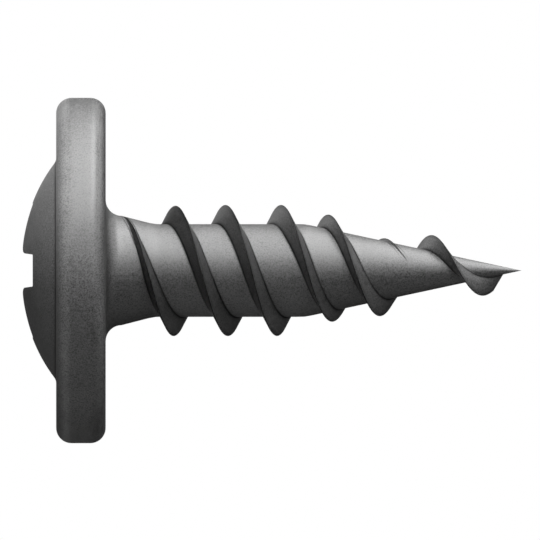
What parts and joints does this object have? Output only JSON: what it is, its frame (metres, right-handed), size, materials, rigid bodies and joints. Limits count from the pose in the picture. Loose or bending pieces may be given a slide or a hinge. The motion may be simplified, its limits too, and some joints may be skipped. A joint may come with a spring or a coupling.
{
  "type": "sheet metal screw",
  "caption": "Sheet metal screw with a low domed washer head, a cross recess, interleaved right-hand threads and a sharp point, for fixing thin sheet.",
  "frame": {"origin": "centre of the flat bearing face under the washer flange, on the screw's axis", "axes": "+Z runs along the shank from the head to the point; the wings of the cross recess lie along X and Y; the short thread starts at +X and the long thread at -X"},
  "size_m": [0.0108, 0.0108, 0.0156],
  "materials": {
    "dark_steel": "dark grey coated steel, satin to matt"
  },
  "bodies": {
    "root": {"screw": "dark_steel"}
  },
  "joints": []
}
